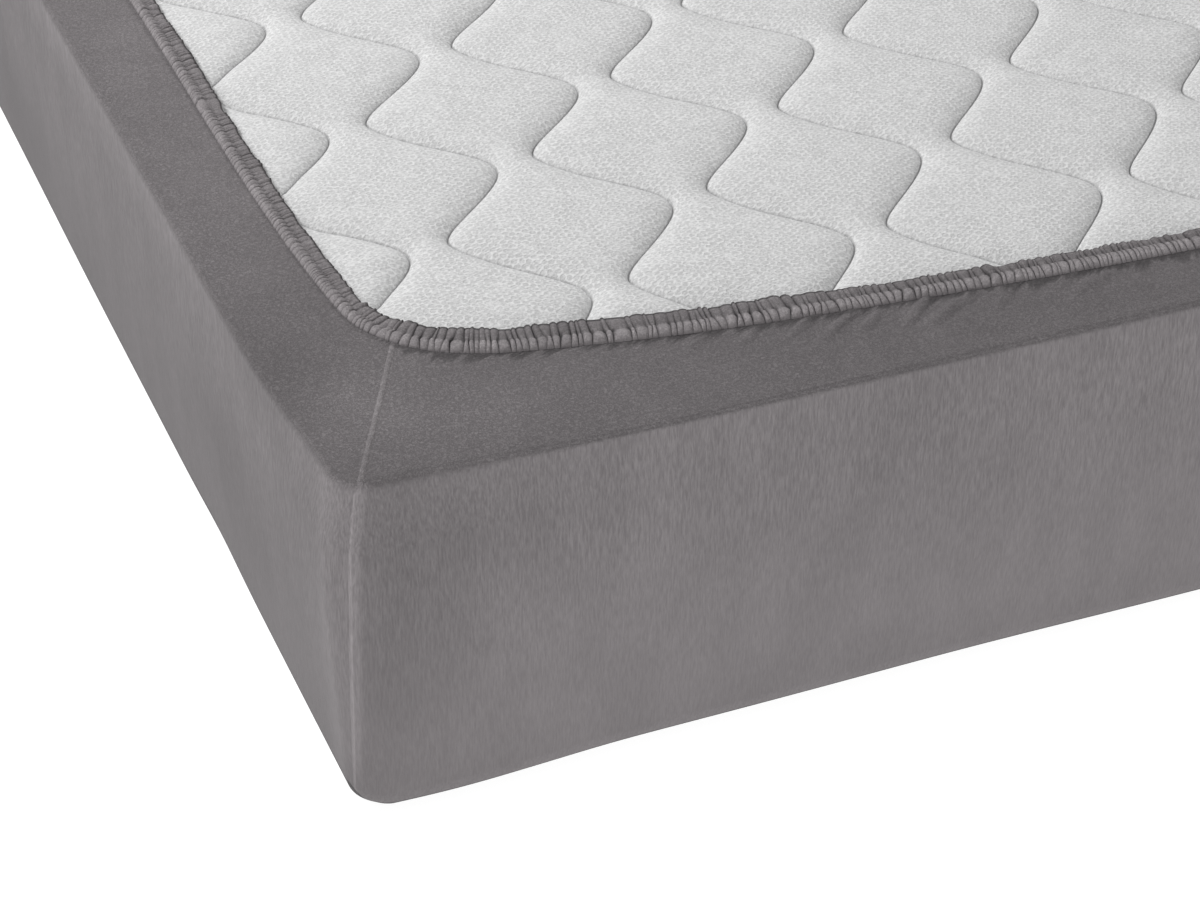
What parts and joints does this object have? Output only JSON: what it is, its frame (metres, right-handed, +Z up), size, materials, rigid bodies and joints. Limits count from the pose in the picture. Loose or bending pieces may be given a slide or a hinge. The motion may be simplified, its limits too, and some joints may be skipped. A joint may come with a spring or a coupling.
{
  "type": "fitted sheet on a mattress",
  "caption": "Plain jersey fitted sheet with a gathered elastic edge, stretched over a quilted mattress that lies underside up, corners seamed",
  "frame": {"origin": "on the floor, under the middle of the mattress", "axes": "+X along the short sides, +Y along the long sides, +Z up, out of the open side of the sheet"},
  "size_m": [1.4034, 2.0106, 0.2736],
  "materials": {
    "ticking": "quilted knitted ticking, white",
    "jersey": "matt cotton jersey, grey"
  },
  "bodies": {
    "root": {"mattress": "ticking", "fitted_sheet": "jersey", "elastic_band": "jersey"}
  },
  "joints": []
}
